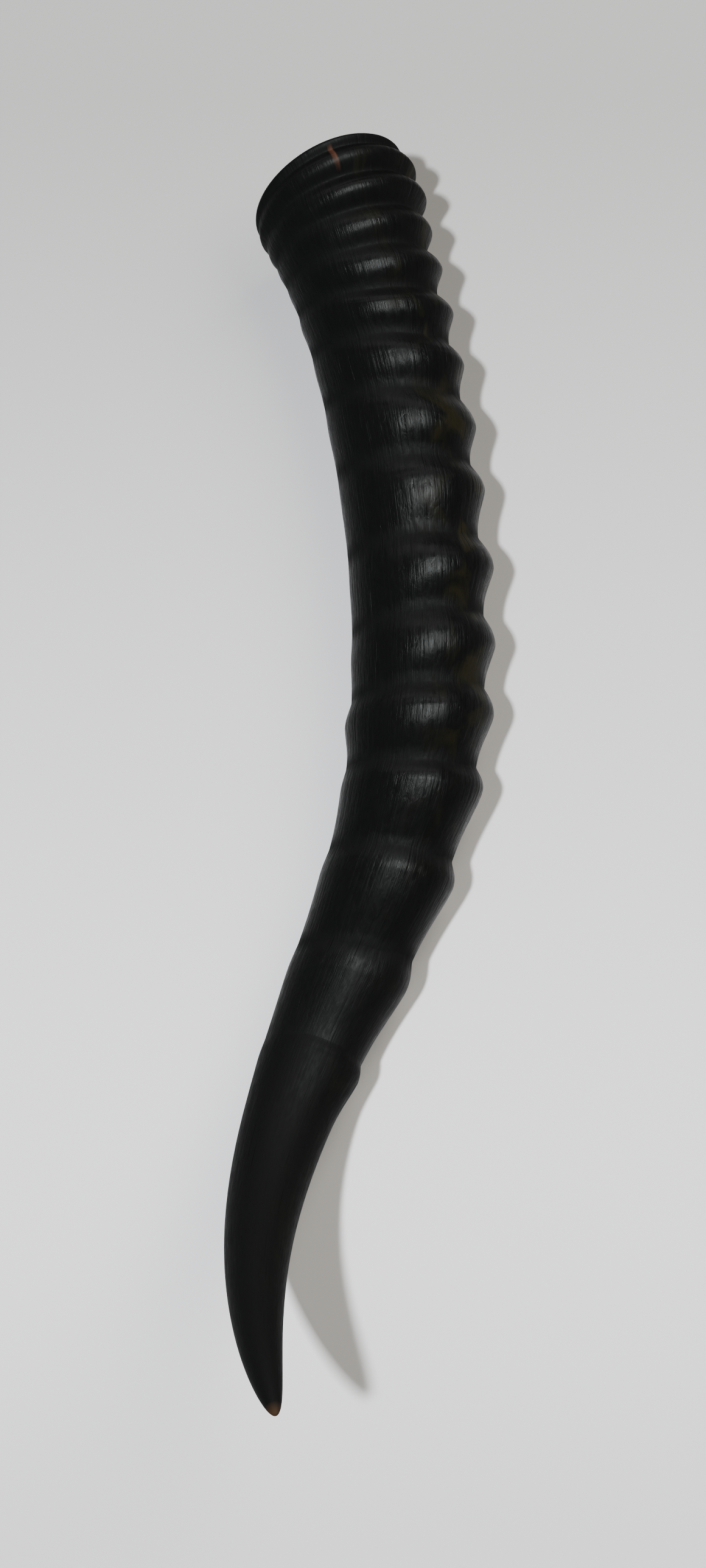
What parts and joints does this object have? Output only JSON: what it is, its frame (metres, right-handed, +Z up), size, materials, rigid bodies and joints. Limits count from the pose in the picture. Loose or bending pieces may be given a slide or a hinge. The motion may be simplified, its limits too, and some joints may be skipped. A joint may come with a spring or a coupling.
{
  "type": "shofar",
  "caption": "Curved black antelope horn with heavy growth rings, a hollow flared bell and a smooth closed tip, lying on its side.",
  "frame": {"origin": "middle of the horn's box, on the surface that it lies on", "axes": "+Y towards the bell, -Y towards the tip, +X is the ringed front of the horn, +Z up"},
  "size_m": [0.0776, 0.3822, 0.083],
  "materials": {
    "bell_horn": "polished black horn keratin, faintly brown where it is thin",
    "ring_horn": "polished black horn keratin with fine lengthwise grain and cracks",
    "tip_horn": "satin black horn keratin, smooth, brown at the very point"
  },
  "bodies": {
    "root": {"bell_rim": "bell_horn", "growth_ring_01": "ring_horn", "growth_ring_02": "ring_horn", "growth_ring_03": "ring_horn", "growth_ring_04": "ring_horn", "growth_ring_05": "ring_horn", "growth_ring_06": "ring_horn", "growth_ring_07": "ring_horn", "growth_ring_08": "ring_horn", "growth_ring_09": "ring_horn", "growth_ring_10": "ring_horn", "growth_ring_11": "ring_horn", "growth_ring_12": "ring_horn", "growth_ring_13": "ring_horn", "growth_ring_14": "ring_horn", "horn_tip": "tip_horn"}
  },
  "joints": []
}
